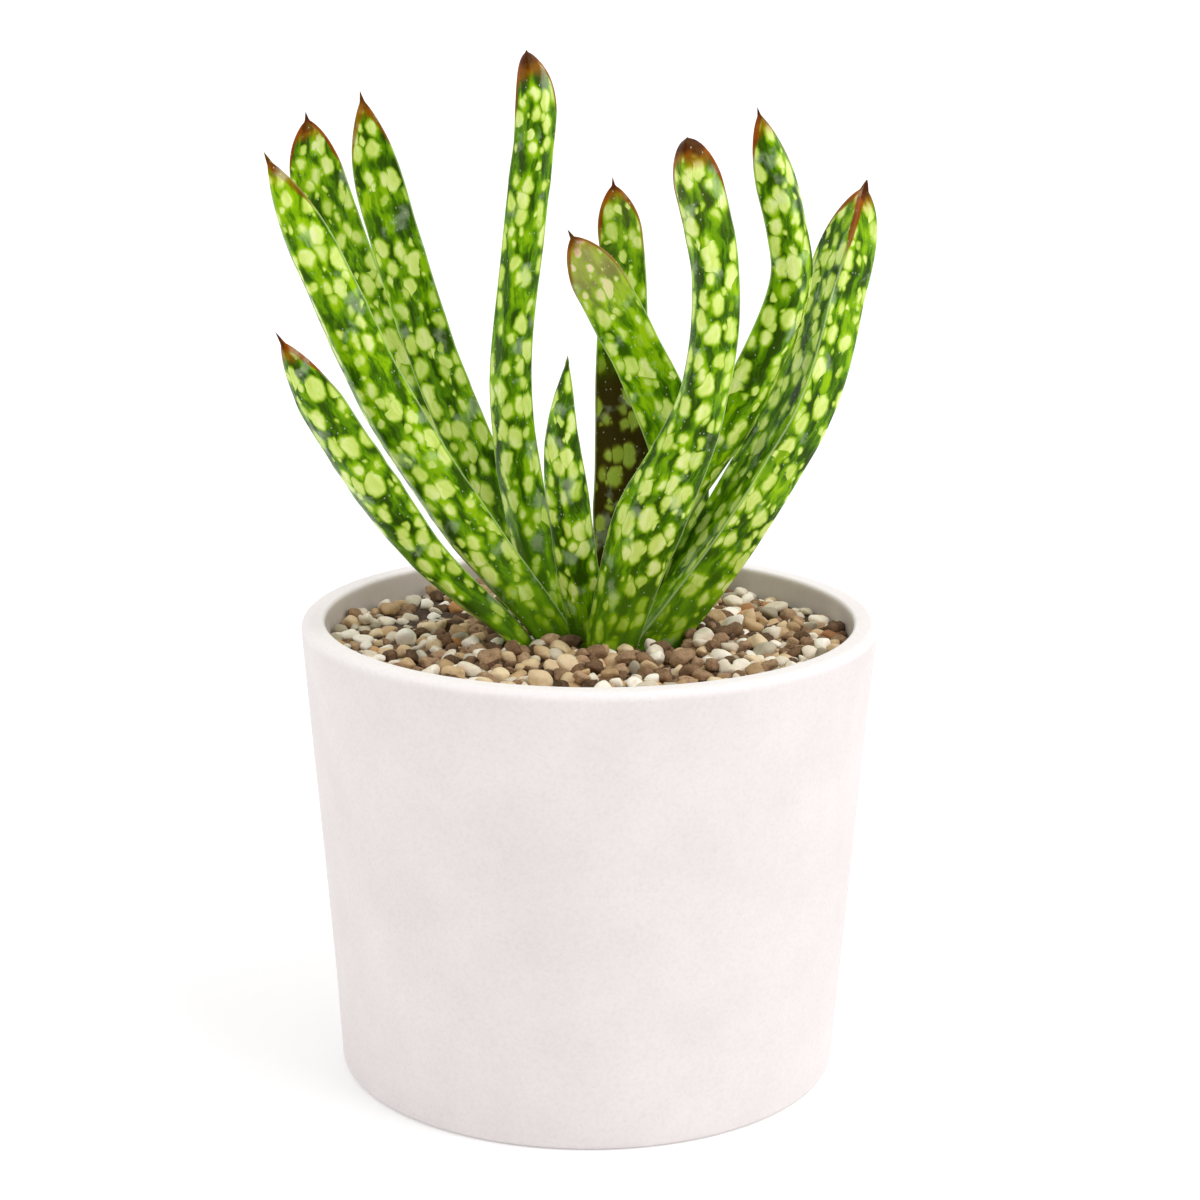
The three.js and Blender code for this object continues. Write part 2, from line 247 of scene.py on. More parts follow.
# Each leaf: its centre line from the crown to the tip with heights above the grit, the width at
# four places, the thickness at three, the way its keeled back faces in plan at base and tip
# (0 is the front, 90 the right), the keel's offset, the lengths of the taper and the point, and
# the taper's power, which is low for a blunt tip.
LEAVES = {
    "leaf_front": (
        [(4.5, -11, -7), (5.1, -12.5, 1), (11.9, -17, 26.5), (23.4, -22, 55), (26.1, -25, 83),
         (19.6, -27, 113)],
        (12, 16.1, 10.5, 10.6), (6, 5.6, 4.6), (-5, -5), 0.35, 11, 0.4, 0.55,
    ),
    "leaf_short_front": (
        [(-0.5, -5, -7), (-0.8, -6, 1), (-3.7, -11, 22.5), (-6.3, -16, 46), (-5, -20, 66)],
        (7.5, 9.5, 9.8, 8.6), (4.4, 4.2, 3.2), (0, -8), -0.1, 32, 1, 0.9,
    ),
    "leaf_low_left": (
        [(-14, -6, -6), (-17.5, -8, 1), (-36, -15, 20), (-52.5, -23, 46), (-66.5, -29, 72)],
        (5.5, 8.4, 12, 12), (4.2, 4.2, 3.2), (-15, -25), 0.1, 22, 2.5, 0.8,
    ),
    "leaf_long_left": (
        [(-7, -3.5, -7), (-9.5, -4.5, 1), (-27.5, -10, 25.5), (-44.7, -14, 53.7), (-58, -17, 83.3),
         (-69.2, -19, 108.6)],
        (9, 12.8, 13.6, 12.6), (6.2, 6, 4.6), (-15, -30), 0.3, 24, 2, 0.85,
    ),
    "leaf_far_right": (
        [(10.8, -1.2, -6), (15, 0, 1), (30.8, 3, 23.8), (46.9, 6, 52.7), (54.6, 9, 79.6), (60.8, 9, 101)],
        (12, 13.8, 15.6, 12.5), (12.5, 13.2, 10.7), (104, 118), 0.6, 20, 2, 0.8,
    ),
    "leaf_tall": (
        [(-6, 3, -7), (-7.5, 3.5, 0), (-14, 4, 23), (-18, 4, 55), (-14.8, 3, 90), (-12.2, 3, 116),
         (-14.5, 4, 129)],
        (9.5, 10.2, 9.2, 9.4), (5.4, 5, 4), (-10, 10), 0.2, 12.5, 0.5, 0.65,
    ),
    "leaf_right": (
        [(9, 4, -7), (11.9, 4.5, 1), (18.8, 3, 26), (33.9, 0, 51.4), (43.7, -3, 76.4), (42.8, -4, 92.3),
         (35.3, -6, 117.7)],
        (9, 11.1, 12, 10.2), (5.6, 5.4, 4.4), (25, 25), 0.0, 18, 1.5, 0.8,
    ),
    "leaf_inner_left": (
        [(-9, 8.5, -7), (-11, 9.5, 1), (-22, 15, 27.6), (-35.7, 21, 59.4), (-46.7, 25, 93.4),
         (-52.6, 27, 118.5)],
        (10, 12, 12.4, 12.6), (5, 4.8, 3.8), (160, 165), 0.0, 23, 2, 0.8,
    ),
    "leaf_bent": (
        [(13, 10.5, -7), (14.5, 11, 1), (20.5, 14, 26), (17.4, 18, 44.4), (6, 21, 68), (-5.6, 23, 88)],
        (9.5, 13.6, 13.3, 12.5), (4.8, 4.6, 3.6), (205, 190), 0.0, 13, 2, 0.75,
    ),
    "leaf_back": (
        [(4, 12, -7), (5, 13, 1), (7.5, 19, 27.6), (7.2, 29, 57.2), (7.2, 36, 79), (4.7, 41, 98.2)],
        (10, 14, 12.8, 10.6), (4.8, 4.6, 3.6), (185, 180), 0.0, 12, 2, 0.75,
    ),
    "leaf_back_left": (
        [(-12.5, 14, -7), (-15, 15, 2), (-33, 24, 37.6), (-51.2, 33, 68.4), (-62.6, 40, 95.4),
         (-66.7, 44, 112.5)],
        (10, 12, 13, 14.6), (5, 4.8, 3.8), (155, 160), 0.0, 15, 2, 0.75,
    ),
}

# How each leaf has grown and weathered, and the painted light on it: painted shade, which darkens
# the whole leaf, how lime its green is, which also lifts some whole leaves lighter as painted light,
# browning of the lower half, redness at the tip and cream bleaching near the tip.
WEATHER_AND_PAINTED_LIGHT = {
    "leaf_front": (0.0, 0.0, 0.0, 1.0, 0.1),
    "leaf_short_front": (0.0, -0.05, 0.0, 0.0, 0.0),
    "leaf_low_left": (0.12, 0.0, 0.0, 1.0, 0.0),
    "leaf_long_left": (0.0, 0.08, 0.0, 0.7, 0.0),
    "leaf_far_right": (0.0, 0.05, 0.0, 1.0, 0.0),
    "leaf_tall": (0.0, 0.03, 0.0, 1.0, 0.0),
    "leaf_right": (0.0, 0.08, 0.0, 1.0, 0.0),
    "leaf_inner_left": (0.1, 0.03, 0.0, 0.8, 0.0),
    "leaf_bent": (0.0, 0.22, 0.0, 0.8, 1.0),
    "leaf_back": (0.12, 0.1, 1.0, 0.9, 0.15),
    "leaf_back_left": (0.1, 0.1, 0.0, 1.0, 0.0),
}

# steps round each leaf's keeled back and its face, and cross-sections along it
OUTER, INNER, STATIONS = 30, 18, 150
MARGIN_WIDTH = 2.4
# the inner face starts this far along the leaf's map, in millimetres, so that its spots differ
INNER_FACE_SHIFT = 60


def centre_line(path):
    """An even walk along a Catmull-Rom curve: its points and length."""
    path = np.array(path, float)
    ends = np.vstack([2 * path[0] - path[1], path, 2 * path[-1] - path[-2]])
    walk = []
    for i in range(len(path) - 1):
        a, b, c, d = ends[i : i + 4]
        for t in np.arange(40) / 40:
            bend = (2 * a - 5 * b + 4 * c - d) + t * (3 * (b - c) + d - a)
            walk.append(b + 0.5 * t * ((c - a) + t * bend))
    walk = np.array(walk + [path[-1]])
    lengths = np.r_[0, np.cumsum(np.linalg.norm(np.diff(walk, axis=0), axis=1))]
    return walk, lengths


def leaf_section(width, thickness, edge, keel):
    """Points round one cross-section: how far each is across the leaf and outward."""
    c = np.cos(np.pi * np.arange(OUTER + 1) / OUTER)
    u = keel + c - keel * np.abs(c)
    side = np.sqrt(c * c + 0.006) / math.sqrt(1.006)
    back = edge * np.sqrt(np.clip(1 - u * u, 0, 1)) + 0.86 * thickness * (1 - side) * (1 + 0.6 * side)
    angle = np.pi + np.pi * np.arange(1, INNER) / INNER
    s = np.abs(np.sin(angle))
    front = -edge * s + 0.05 * thickness * s * s
    across = np.r_[u, np.cos(angle)] * width / 2
    outward = np.r_[back, front] - 0.3 * thickness
    return across, outward


def make_leaf(name, number):
    path, widths, thick, facing, keel, tip, point, power = LEAVES[name]
    rng = np.random.default_rng(100 + number)
    walk, lengths = centre_line(path)
    length = lengths[-1]
    places = 1 - (1 - np.arange(STATIONS) / STATIONS) ** 1.25
    at = [np.interp(places * length, lengths, walk[:, k]) for k in range(3)]
    centres = np.stack(at, 1) + (0, 0, GRIT_TOP)
    slopes = np.gradient(walk, axis=0)
    slopes = np.stack([np.interp(places * length, lengths, slopes[:, k]) for k in range(3)], 1)
    slopes /= np.linalg.norm(slopes, axis=1)[:, None]
    wobble = -np.abs(np.interp(places, np.linspace(0, 1, 14), rng.normal(0, 0.02, 14)))
    points, edge_values, tip_values, height_values, uv = [], [], [], [], []
    columns = OUTER + INNER
    w0, w1, w2, w3 = widths
    for i, place in enumerate(places):
        to_tip = (1 - place) * length
        taper = min(1.0, max(0.0, (to_tip - point) / tip))
        narrowing = (1 - (1 - taper) ** 2) ** power
        thorn = min(1.0, to_tip / (point + 0.8))
        narrowing = max(narrowing, 0.11 * thorn)
        width = np.interp(place, [0, 0.07, 0.3, 0.55, 0.8, 1], [0.85 * w0, w0, w1, w2, w3, 0.97 * w3])
        width = width * narrowing * (1 + wobble[i])
        thickness = np.interp(place, [0, 0.5, 1], thick) * narrowing**0.7
        edge = 0.55 * min(1.0, 1.2 * narrowing)
        azimuth = math.radians(np.interp(place, [0, 1], facing))
        outward = np.array([math.sin(azimuth), -math.cos(azimuth), 0.0])
        outward -= outward.dot(slopes[i]) * slopes[i]
        outward /= np.linalg.norm(outward)
        across = np.cross(outward, slopes[i])
        us, vs = leaf_section(width, thickness, edge, keel)
        # shallow lengthwise folds and soft lumps, a tenth or two of a millimetre
        folds = np.sin(us * 1.9 + number)
        soft_lumps = np.sin(us * 0.9 - place * length * 0.13 + number * 2.1)
        ripple = 0.10 * folds + 0.10 * soft_lumps
        vs = vs + ripple * narrowing * (np.abs(us) < 0.46 * width)
        ring = centres[i] + np.outer(us, across) + np.outer(vs, outward)
        points.append(ring)
        steps = np.hypot(np.diff(us, append=us[0]), np.diff(vs, append=vs[0]))
        walked = np.r_[0, np.cumsum(steps)]
        back, whole = walked[OUTER], walked[-1]
        from_margin = np.minimum(np.minimum(walked[:-1], np.abs(walked[:-1] - back)), whole - walked[:-1])
        edge_values.append(1 - np.clip(from_margin / MARGIN_WIDTH, 0, 1))
        face_start = (back + whole) / 2 - INNER_FACE_SHIFT
        uv.append((walked - back / 2, walked - face_start, place * length))
        tip_values.append(np.full(columns, to_tip))
        height_values.append(np.full(columns, place))
    points = np.concatenate(points + [[centres[0]], [np.array(path[-1]) + (0, 0, GRIT_TOP)]])
    faces = ring_faces(STATIONS, columns)
    base, top, last = len(points) - 2, len(points) - 1, (STATIONS - 1) * columns
    for j in range(columns):
        k = (j + 1) % columns
        faces.append((base, k, j))
        faces.append((last + j, last + k, top))
    made = piece("gasteria_" + name, points, faces)
    point_values(made, "edge", np.r_[np.concatenate(edge_values), 0, 1])
    point_values(made, "tip_mm", np.r_[np.concatenate(tip_values), length, 0])
    point_values(made, "height", np.r_[np.concatenate(height_values), 0, 1])
    add_leaf_map(made, uv, columns, number, length)
    made.data.materials.append(leaf_tissue(name))
    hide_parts(name)


def add_leaf_map(made, rows, columns, number, length):
    """A map in centimetres: across from the middle of each face, and up the leaf. The inner
    face has its own stretch of the map, so the two faces are spotted differently."""
    values = []
    shift = number * 4.3
    for face in made.data.polygons:
        ids = list(face.vertices)
        own = [v for v in ids if v < STATIONS * columns]
        low = min(v % columns for v in own)
        wraps = low == 0 and max(v % columns for v in own) == columns - 1
        inner = wraps or low >= OUTER
        for v in ids:
            row = min(v // columns, STATIONS - 1) if v != STATIONS * columns else 0
            column = v % columns if v in own else low
            if wraps and column == 0:
                column = columns
            up = rows[row][2] if v in own else (0 if row == 0 else length)
            values += [rows[row][1 if inner else 0][column] / 10 + shift, up / 10 + shift]
    made.data.uv_layers.new(name="leaf_cm").data.foreach_set("uv", values)


def spot_layer(tree, where, per_cm, reach, soft, share, start):
    """Soft oval spots, one to a cell: how strongly each point is spotted, and how far off the
    nearest spot's middle is. share is the part of the cells that has a spot."""
    placed = node(tree, "Mapping", {"Vector": where, "Location": (start, start, 0), "Scale": (*per_cm, 1)})
    cells = node(tree, "TexVoronoi", {"Vector": placed, "Scale": 1.0, "Randomness": 0.95},
                 voronoi_dimensions="2D")
    chance = node(tree, "SeparateColor", [cells.outputs["Color"]])
    uneven = node(tree, "Math", [chance.outputs["Red"], 0.5], operation="SUBTRACT")
    size = node(tree, "Math", [uneven, 0.28], operation="MULTIPLY")
    reached = node(tree, "Math", [cells, size], operation="ADD")
    oval = node(tree, "MapRange", [reached, reach + soft, reach - soft], **SOFT)
    kept = node(tree, "MapRange", [chance.outputs["Green"], share + 0.02, share - 0.02], **SOFT)
    faint = node(tree, "MapRange", [chance.outputs["Blue"], 0.0, 0.4, 0.72, 1.0], **SOFT)
    strength = node(tree, "Math", [kept, faint], operation="MULTIPLY")
    return node(tree, "Math", [oval, strength], operation="MULTIPLY"), cells


def leaf_tissue(name):
    """Firm waxy succulent skin: deep green with crowded pale oval spots 2 to 5 mm long that run
    together, fine raised dots whitened as painted glints, a thin horny margin that reddens towards
    the tip, and a soft wet-looking gloss over slightly translucent flesh with patches of painted sheen."""
    made, tree = new_material("gasteria_skin_" + name.removeprefix("leaf_"))
    flat = node(tree, "UVMap", uv_map="leaf_cm")
    edge = node(tree, "Attribute", attribute_name="edge").outputs["Fac"]
    to_tip = node(tree, "Attribute", attribute_name="tip_mm").outputs["Fac"]
    height = node(tree, "Attribute", attribute_name="height").outputs["Fac"]

    # the map is in centimetres, so a scale of 2 gives features 5 mm across
    drift = node(tree, "TexNoise", {"Vector": flat, "Scale": 2.4, "Detail": 2}, **FLAT)
    broad = node(tree, "TexNoise", {"Vector": flat, "Scale": 0.8, "Detail": 2}, **FLAT)
    pushed = node(tree, "VectorMath", [drift.outputs["Color"], (-0.5, -0.5, -0.5)], operation="ADD")
    warp = node(tree, "VectorMath", {0: pushed, "Scale": 0.22}, operation="SCALE")
    warped = node(tree, "VectorMath", [flat, warp], operation="ADD")

    # large spots about 2.6 mm wide and 4 mm long, then small ones among them
    large, near_large = spot_layer(tree, warped, (2.5, 1.7), 0.34, 0.17, 0.90, 0.0)
    small, _ = spot_layer(tree, warped, (4.2, 2.8), 0.27, 0.17, 0.32, 9.3)
    weaker = node(tree, "Math", [small, 0.85], operation="MULTIPLY")
    crowded = node(tree, "Math", [large, weaker], operation="MAXIMUM")

    # fewer, duller spots near the base, and a plain margin
    rise = node(tree, "MapRange", [height, 0.02, 0.30, 0.4, 1.0], **SOFT)
    plain = node(tree, "MapRange", [edge, 0.6, 0.92, 1.0, 0.25], **SOFT)
    allowed = node(tree, "Math", [rise, plain], operation="MULTIPLY")
    spots = node(tree, "Math", [crowded, allowed], operation="MULTIPLY")

    flesh = leaf_flesh(tree, name, warped, broad, near_large, spots, height, to_tip)
    tipped = horny_margin(tree, name, flesh, edge, to_tip, drift, broad)

    # raised dots a third of a millimetre wide, scattered in loose bands, each whitened as a painted glint
    dot_map = node(tree, "Mapping", {"Vector": flat, "Scale": (8.0, 6.0, 1.0)})
    dots = node(tree, "TexVoronoi", {"Vector": dot_map, "Scale": 1.0}, voronoi_dimensions="2D")
    dot_chance = node(tree, "SeparateColor", [dots.outputs["Color"]])
    kept = node(tree, "MapRange", [dot_chance.outputs["Green"], 0.84, 0.88], **SOFT)
    round_dot = node(tree, "MapRange", [dots, 0.17, 0.07], **SOFT)
    dot = node(tree, "Math", [round_dot, kept], operation="MULTIPLY")
    painted_glint = node(tree, "Math", [dot, 0.4], operation="MULTIPLY")
    glinted = node(tree, "Mix", {FACTOR: painted_glint, UNDER: tipped, OVER: colour("e4efd0")}, **COLOURS)

    # painted sheen: a few soft milky patches stand in for the light's reflection on the wax
    sheen_patches = node(tree, "TexNoise", {"Vector": flat, "Scale": 1.3, "Detail": 4}, **FLAT)
    painted_sheen = node(tree, "MapRange", [sheen_patches, 0.60, 0.74, 0.0, 0.28], **SOFT)
    sheened = node(tree, "Mix", {FACTOR: painted_sheen, UNDER: glinted, OVER: colour("d8e6c4")}, **COLOURS)

    wax = node(tree, "TexNoise", {"Vector": flat, "Scale": 14.0, "Detail": 3}, **FLAT)
    gloss = node(tree, "MapRange", [wax, 0.3, 0.7, 0.26, 0.46], **SOFT)
    spot_height = node(tree, "Math", [spots, 0.35], operation="MULTIPLY")
    dot_height = node(tree, "Math", [dot, 0.8], operation="MULTIPLY")
    wax_height = node(tree, "Math", [wax, 0.35], operation="MULTIPLY")
    raised = node(tree, "Math", [spot_height, dot_height], operation="ADD")
    relief = node(tree, "Math", [raised, wax_height], operation="ADD")
    bump = node(tree, "Bump", {"Strength": 0.5, "Distance": 0.12 * MM, "Height": relief})
    shader = node(tree, "BsdfPrincipled", {
        "Base Color": sheened, "Roughness": gloss, "IOR": 1.38, "Normal": bump,
        "Specular IOR Level": 0.26, "Specular Tint": (0.85, 1.0, 0.35, 1.0),
        "Subsurface Weight": 0.12, "Subsurface Radius": (0.5, 1.0, 0.2), "Subsurface Scale": 1.2 * MM,
    })
    node(tree, "OutputMaterial", [shader])
    return made


def leaf_flesh(tree, name, where, broad, near_large, spots, height, to_tip):
    """The green and the spots on it: dark streaks that run up the leaf, lime where spots crowd,
    and each spot pale yellow inside a brighter green halo."""
    painted_shade, lime_and_painted_light, browning, _, bleach = WEATHER_AND_PAINTED_LIGHT[name]
    streak_map = node(tree, "Mapping", {"Vector": where, "Scale": (4.5, 1.1, 1.0)})
    streaks = node(
        tree, "TexNoise", {"Vector": streak_map, "Scale": 1.0, "Detail": 4, "Roughness": 0.6}, **FLAT
    )
    uneven = node(tree, "Math", [broad, 0.5], operation="SUBTRACT")
    patches = node(tree, "Math", [uneven, 0.7], operation="MULTIPLY")
    close = node(tree, "MapRange", [near_large, 0.60, 0.30], **SOFT)
    brighter = node(tree, "Math", [close, 0.26], operation="MULTIPLY")
    patchy = node(tree, "Math", [brighter, patches], operation="ADD")
    # the lime offset is partly the leaf's own lime green and partly painted light that lifts a whole leaf
    # lighter where it stands in shade
    lime = node(tree, "Math", [patchy, lime_and_painted_light], operation="ADD")
    streaky = node(tree, "MapRange", [streaks, 0.32, 0.68, -0.05, 0.55], **SOFT)
    ground = node(tree, "Math", [streaky, lime], operation="ADD", use_clamp=True)
    greens = [(0.0, "274600"), (0.2, "386000"), (0.45, "588a00"), (0.7, "80b002"), (1.0, "a2cc10")]
    green = node(tree, "ValToRGB", [ground], greens)
    base = node(tree, "MapRange", [height, 0.34, 0.04], **SOFT)
    plain = node(tree, "Math", [base, 0.65], operation="MULTIPLY")
    green = node(tree, "Mix", {FACTOR: plain, UNDER: green, OVER: colour("5f8c18")}, **COLOURS)
    halo = node(tree, "ValToRGB", [streaks], [(0.3, "88b400"), (0.7, "a8d00c")])
    cream = node(tree, "ValToRGB", [streaks], [(0.3, "c8de64"), (0.5, "daec80"), (0.7, "ecf5aa")])
    if browning:
        low = node(tree, "MapRange", [height, 0.66, 0.54], **SOFT)
        brown = node(tree, "Math", [low, browning], operation="MULTIPLY")
        softer = node(tree, "Math", [brown, 0.8], operation="MULTIPLY")
        green = node(tree, "Mix", {FACTOR: brown, UNDER: green, OVER: colour("3a2c06")}, **COLOURS)
        cream = node(tree, "Mix", {FACTOR: softer, UNDER: cream, OVER: colour("a0b432")}, **COLOURS)
        halo = node(tree, "Mix", {FACTOR: brown, UNDER: halo, OVER: colour("6c6c10")}, **COLOURS)
    if bleach:
        near_tip = node(tree, "MapRange", [to_tip, 26.0, 8.0], **SOFT)
        pale = node(tree, "Math", [near_tip, bleach], operation="MULTIPLY")
        softer = node(tree, "Math", [pale, 0.55], operation="MULTIPLY")
        cream = node(tree, "Mix", {FACTOR: pale, UNDER: cream, OVER: colour("f8e0bc")}, **COLOURS)
        green = node(tree, "Mix", {FACTOR: softer, UNDER: green, OVER: colour("cabb72")}, **COLOURS)
    around = node(tree, "MapRange", [spots, 0.0, 0.5, 0.0, 0.85], **SOFT)
    haloed = node(tree, "Mix", {FACTOR: around, UNDER: green, OVER: halo}, **COLOURS)
    within = node(tree, "MapRange", [spots, 0.3, 0.95], **SOFT)
    flesh = node(tree, "Mix", {FACTOR: within, UNDER: haloed, OVER: cream}, **COLOURS)
    # painted shade: the whole leaf's colour is darkened, for a leaf that stands in shade
    if painted_shade:
        flesh = node(tree, "Mix", {FACTOR: painted_shade, UNDER: flesh, OVER: colour("98a860")},
                     blend_type="MULTIPLY", **COLOURS)
    return flesh


def horny_margin(tree, name, flesh, edge, to_tip, drift, broad):
    """A pale line along the leaf's margin, which turns rust and then dark red near the tip."""
    redness = WEATHER_AND_PAINTED_LIGHT[name][3]
    line = node(tree, "MapRange", [edge, 0.78, 0.97], **SOFT)
    faint = node(tree, "Math", [line, 0.55], operation="MULTIPLY")
    pale = node(tree, "Mix", {FACTOR: faint, UNDER: flesh, OVER: colour("c9dc9c")}, **COLOURS)

    # the rust starts nearer the middle of the leaf towards the tip, along a ragged edge
    start = node(tree, "MapRange", [to_tip, 3.0, 20.0, 0.38, 0.88], **SOFT)
    full = node(tree, "Math", [start, 0.22], operation="ADD")
    uneven = node(tree, "Math", [broad, 0.5], operation="SUBTRACT")
    fraying = node(tree, "Math", [uneven, 0.9], operation="MULTIPLY")
    frayed = node(tree, "Math", [edge, fraying], operation="ADD")
    band = node(tree, "MapRange", [frayed, start, full], **SOFT)
    near_tip = node(tree, "MapRange", [to_tip, 26.0, 10.0], **SOFT)
    banded = node(tree, "Math", [band, near_tip], operation="MULTIPLY")
    rust = node(tree, "Math", [banded, 0.9 * redness], operation="MULTIPLY")
    edged = node(tree, "Mix", {FACTOR: rust, UNDER: pale, OVER: colour("8a2e00")}, **COLOURS)

    # amber over the last 8 mm and dark red over the last 5 mm
    wandering = node(tree, "Math", [drift, 0.5], operation="SUBTRACT")
    wander = node(tree, "Math", [wandering, 6.0], operation="MULTIPLY")
    ragged = node(tree, "Math", [to_tip, wander], operation="ADD")
    last = node(tree, "MapRange", [ragged, 8.0, 3.0], **SOFT)
    amber = node(tree, "Math", [last, 0.7 * redness], operation="MULTIPLY")
    warmed = node(tree, "Mix", {FACTOR: amber, UNDER: edged, OVER: colour("a85400")}, **COLOURS)
    very_last = node(tree, "MapRange", [ragged, 5.0, 1.5], **SOFT)
    dark = node(tree, "Math", [very_last, 0.3 + 0.65 * redness], operation="MULTIPLY")
    return node(tree, "Mix", {FACTOR: dark, UNDER: warmed, OVER: colour("420c00")}, **COLOURS)


# ---------------------------------------------------------------- grit


def leaf_obstacles():
    """Circles that the stones keep out of, at three levels near the grit's top: x, y, radius
    and level."""
    circles = []
    for path, widths, thick, facing, *_ in LEAVES.values():
        walk, lengths = centre_line(path)
        azimuth = math.radians(facing[0])
        for level in (-3.0, 0.0, 3.0):
            i = int(np.argmin(np.abs(walk[:, 2] - level)))
            x, y = walk[i, :2]
            half = 0.5 * widths[0]
            for step in (-0.75, -0.25, 0.25, 0.75):
                side_x, side_y = step * half * math.cos(azimuth), step * half * math.sin(azimuth)
                circles.append((x + side_x, y + side_y, 0.5 * thick[0], level))
    return np.array(circles)


def settle(count, seed):
    """Balls poured into the pot's mouth and pushed apart until they lie packed: centres, radii."""
    rng = np.random.default_rng(seed)
    radii = rng.uniform(1.0, 1.85, count) * rng.choice([0.75, 1.0, 1.18], count, p=[0.4, 0.42, 0.18])
    reach = GRIT_REACH * np.sqrt(rng.uniform(0, 1, count))
    turn = rng.uniform(0, 2 * math.pi, count)
    spots = np.stack([reach * np.cos(turn), reach * np.sin(turn), rng.uniform(-5.5, 0.5, count)], 1)
    leaves = leaf_obstacles()
    for step in range(120):
        if step % 8 == 0:
            near_x = np.abs(spots[:, None, 0] - spots[None, :, 0]) < 6.0
            near_y = np.abs(spots[:, None, 1] - spots[None, :, 1]) < 6.0
            first, second = np.nonzero(np.triu(near_x & near_y, 1))
        spots[:, 2] -= 0.08 if step < 95 else 0.0
        gap = spots[first] - spots[second]
        apart = np.linalg.norm(gap, axis=1) + 1e-6
        lap = np.clip((radii[first] + radii[second]) * 0.94 - apart, 0, None)
        push = gap * (0.30 * lap / apart)[:, None]
        moved = np.zeros_like(spots)
        np.add.at(moved, first, push)
        np.add.at(moved, second, -push)
        spots += np.clip(moved, -0.8, 0.8)
        for x, y, r, level in leaves:
            away = spots[:, :2] - (x, y)
            d = np.hypot(*away.T) + 1e-6
            near = np.clip(r + radii * 0.85 - d, 0, None) * (np.abs(spots[:, 2] - level) < 3.0)
            spots[:, :2] += away / d[:, None] * near[:, None] * 0.8
        d = np.hypot(spots[:, 0], spots[:, 1])
        over = np.clip(d + radii - GRIT_REACH, 0, None)
        spots[:, :2] -= spots[:, :2] / (d[:, None] + 1e-6) * over[:, None]
        spots[:, 2] = np.clip(spots[:, 2], -6.5 + radii, 1.9 - radii)
    return spots, radii


def unit_ball(level):
    """An icosphere's points and faces: an icosahedron with each face split into four, level times."""
    t = (1 + 5**0.5) / 2
    points = [
        (-1, t, 0), (1, t, 0), (-1, -t, 0), (1, -t, 0), (0, -1, t), (0, 1, t),
        (0, -1, -t), (0, 1, -t), (t, 0, -1), (t, 0, 1), (-t, 0, -1), (-t, 0, 1),
    ]
    faces = [
        (0, 11, 5), (0, 5, 1), (0, 1, 7), (0, 7, 10), (0, 10, 11), (1, 5, 9), (5, 11, 4),
        (11, 10, 2), (10, 7, 6), (7, 1, 8), (3, 9, 4), (3, 4, 2), (3, 2, 6), (3, 6, 8),
        (3, 8, 9), (4, 9, 5), (2, 4, 11), (6, 2, 10), (8, 6, 7), (9, 8, 1),
    ]
    points = [np.array(p, float) / math.sqrt(1 + t * t) for p in points]
    for _ in range(level):
        middle, split = {}, []

        def half(a, b):
            key = (min(a, b), max(a, b))
            if key not in middle:
                p = points[a] + points[b]
                points.append(p / np.linalg.norm(p))
                middle[key] = len(points) - 1
            return middle[key]

        for a, b, c in faces:
            ab, bc, ca = half(a, b), half(b, c), half(c, a)
            split += [(a, ab, ca), (b, bc, ab), (c, ca, bc), (ab, bc, ca)]
        faces = split
    return np.array(points), np.array(faces)


def stone_shape(ball, rng, sides, roundness, lumps, waves):
    """A stone: the space inside a handful of soft-edged flats, with lumps on its skin."""
    flats = rng.normal(0, 1, (rng.integers(sides, sides + 5), 3))
    flats /= np.linalg.norm(flats, axis=1)[:, None]
    depth = rng.uniform(0.72, 1.0, len(flats))
    facing = np.clip(ball @ flats.T, 0, None) / depth
    # a way that faces no flat at all reaches as far as a stone is let
    reach = np.maximum((facing**roundness).sum(1), 1e-9) ** (-1 / roundness)
    wave = rng.normal(0, 1, (4, 3)) * waves
    phase = rng.uniform(0, 6.28, 4)
    reach = reach * (1 + lumps * np.sin(ball @ wave.T + phase).sum(1))
    shape = ball * np.clip(reach, 0.5, 1.15)[:, None]
    return shape * (rng.uniform(1.05, 1.4), rng.uniform(0.85, 1.08), rng.uniform(0.62, 0.85))


def turn_matrix(rng, tilt):
    """A random turn about the vertical with a small tilt."""
    spin = Matrix.Rotation(rng.uniform(0, 6.28), 3, "Z")
    lean = Matrix.Rotation(rng.normal(0, tilt), 3, "X") @ Matrix.Rotation(rng.normal(0, tilt), 3, "Y")
    return np.array(spin @ lean)


STONES = {
    # name: share, flats, roundness of the corners, lumps, how close the lumps are, dark to light
    "cream_pebbles": (0.32, 9, 8.0, 0.018, 3.0, ("d2c4ac", "efe3cd", "fff8ea")),
    "buff_pebbles": (0.24, 9, 9.0, 0.02, 3.0, ("a88860", "d0b084", "ecd6b0")),
    "rust_pebbles": (0.05, 8, 10.0, 0.025, 3.0, ("94623a", "c08a54", "dcb07e")),
    "grey_pebbles": (0.08, 9, 8.0, 0.016, 3.0, ("968b74", "b6ab92", "d6cdb8")),
    "loam_brown_chips": (0.31, 7, 26.0, 0.09, 5.0, ("503c28", "8c6c4e", "c8a682")),
}


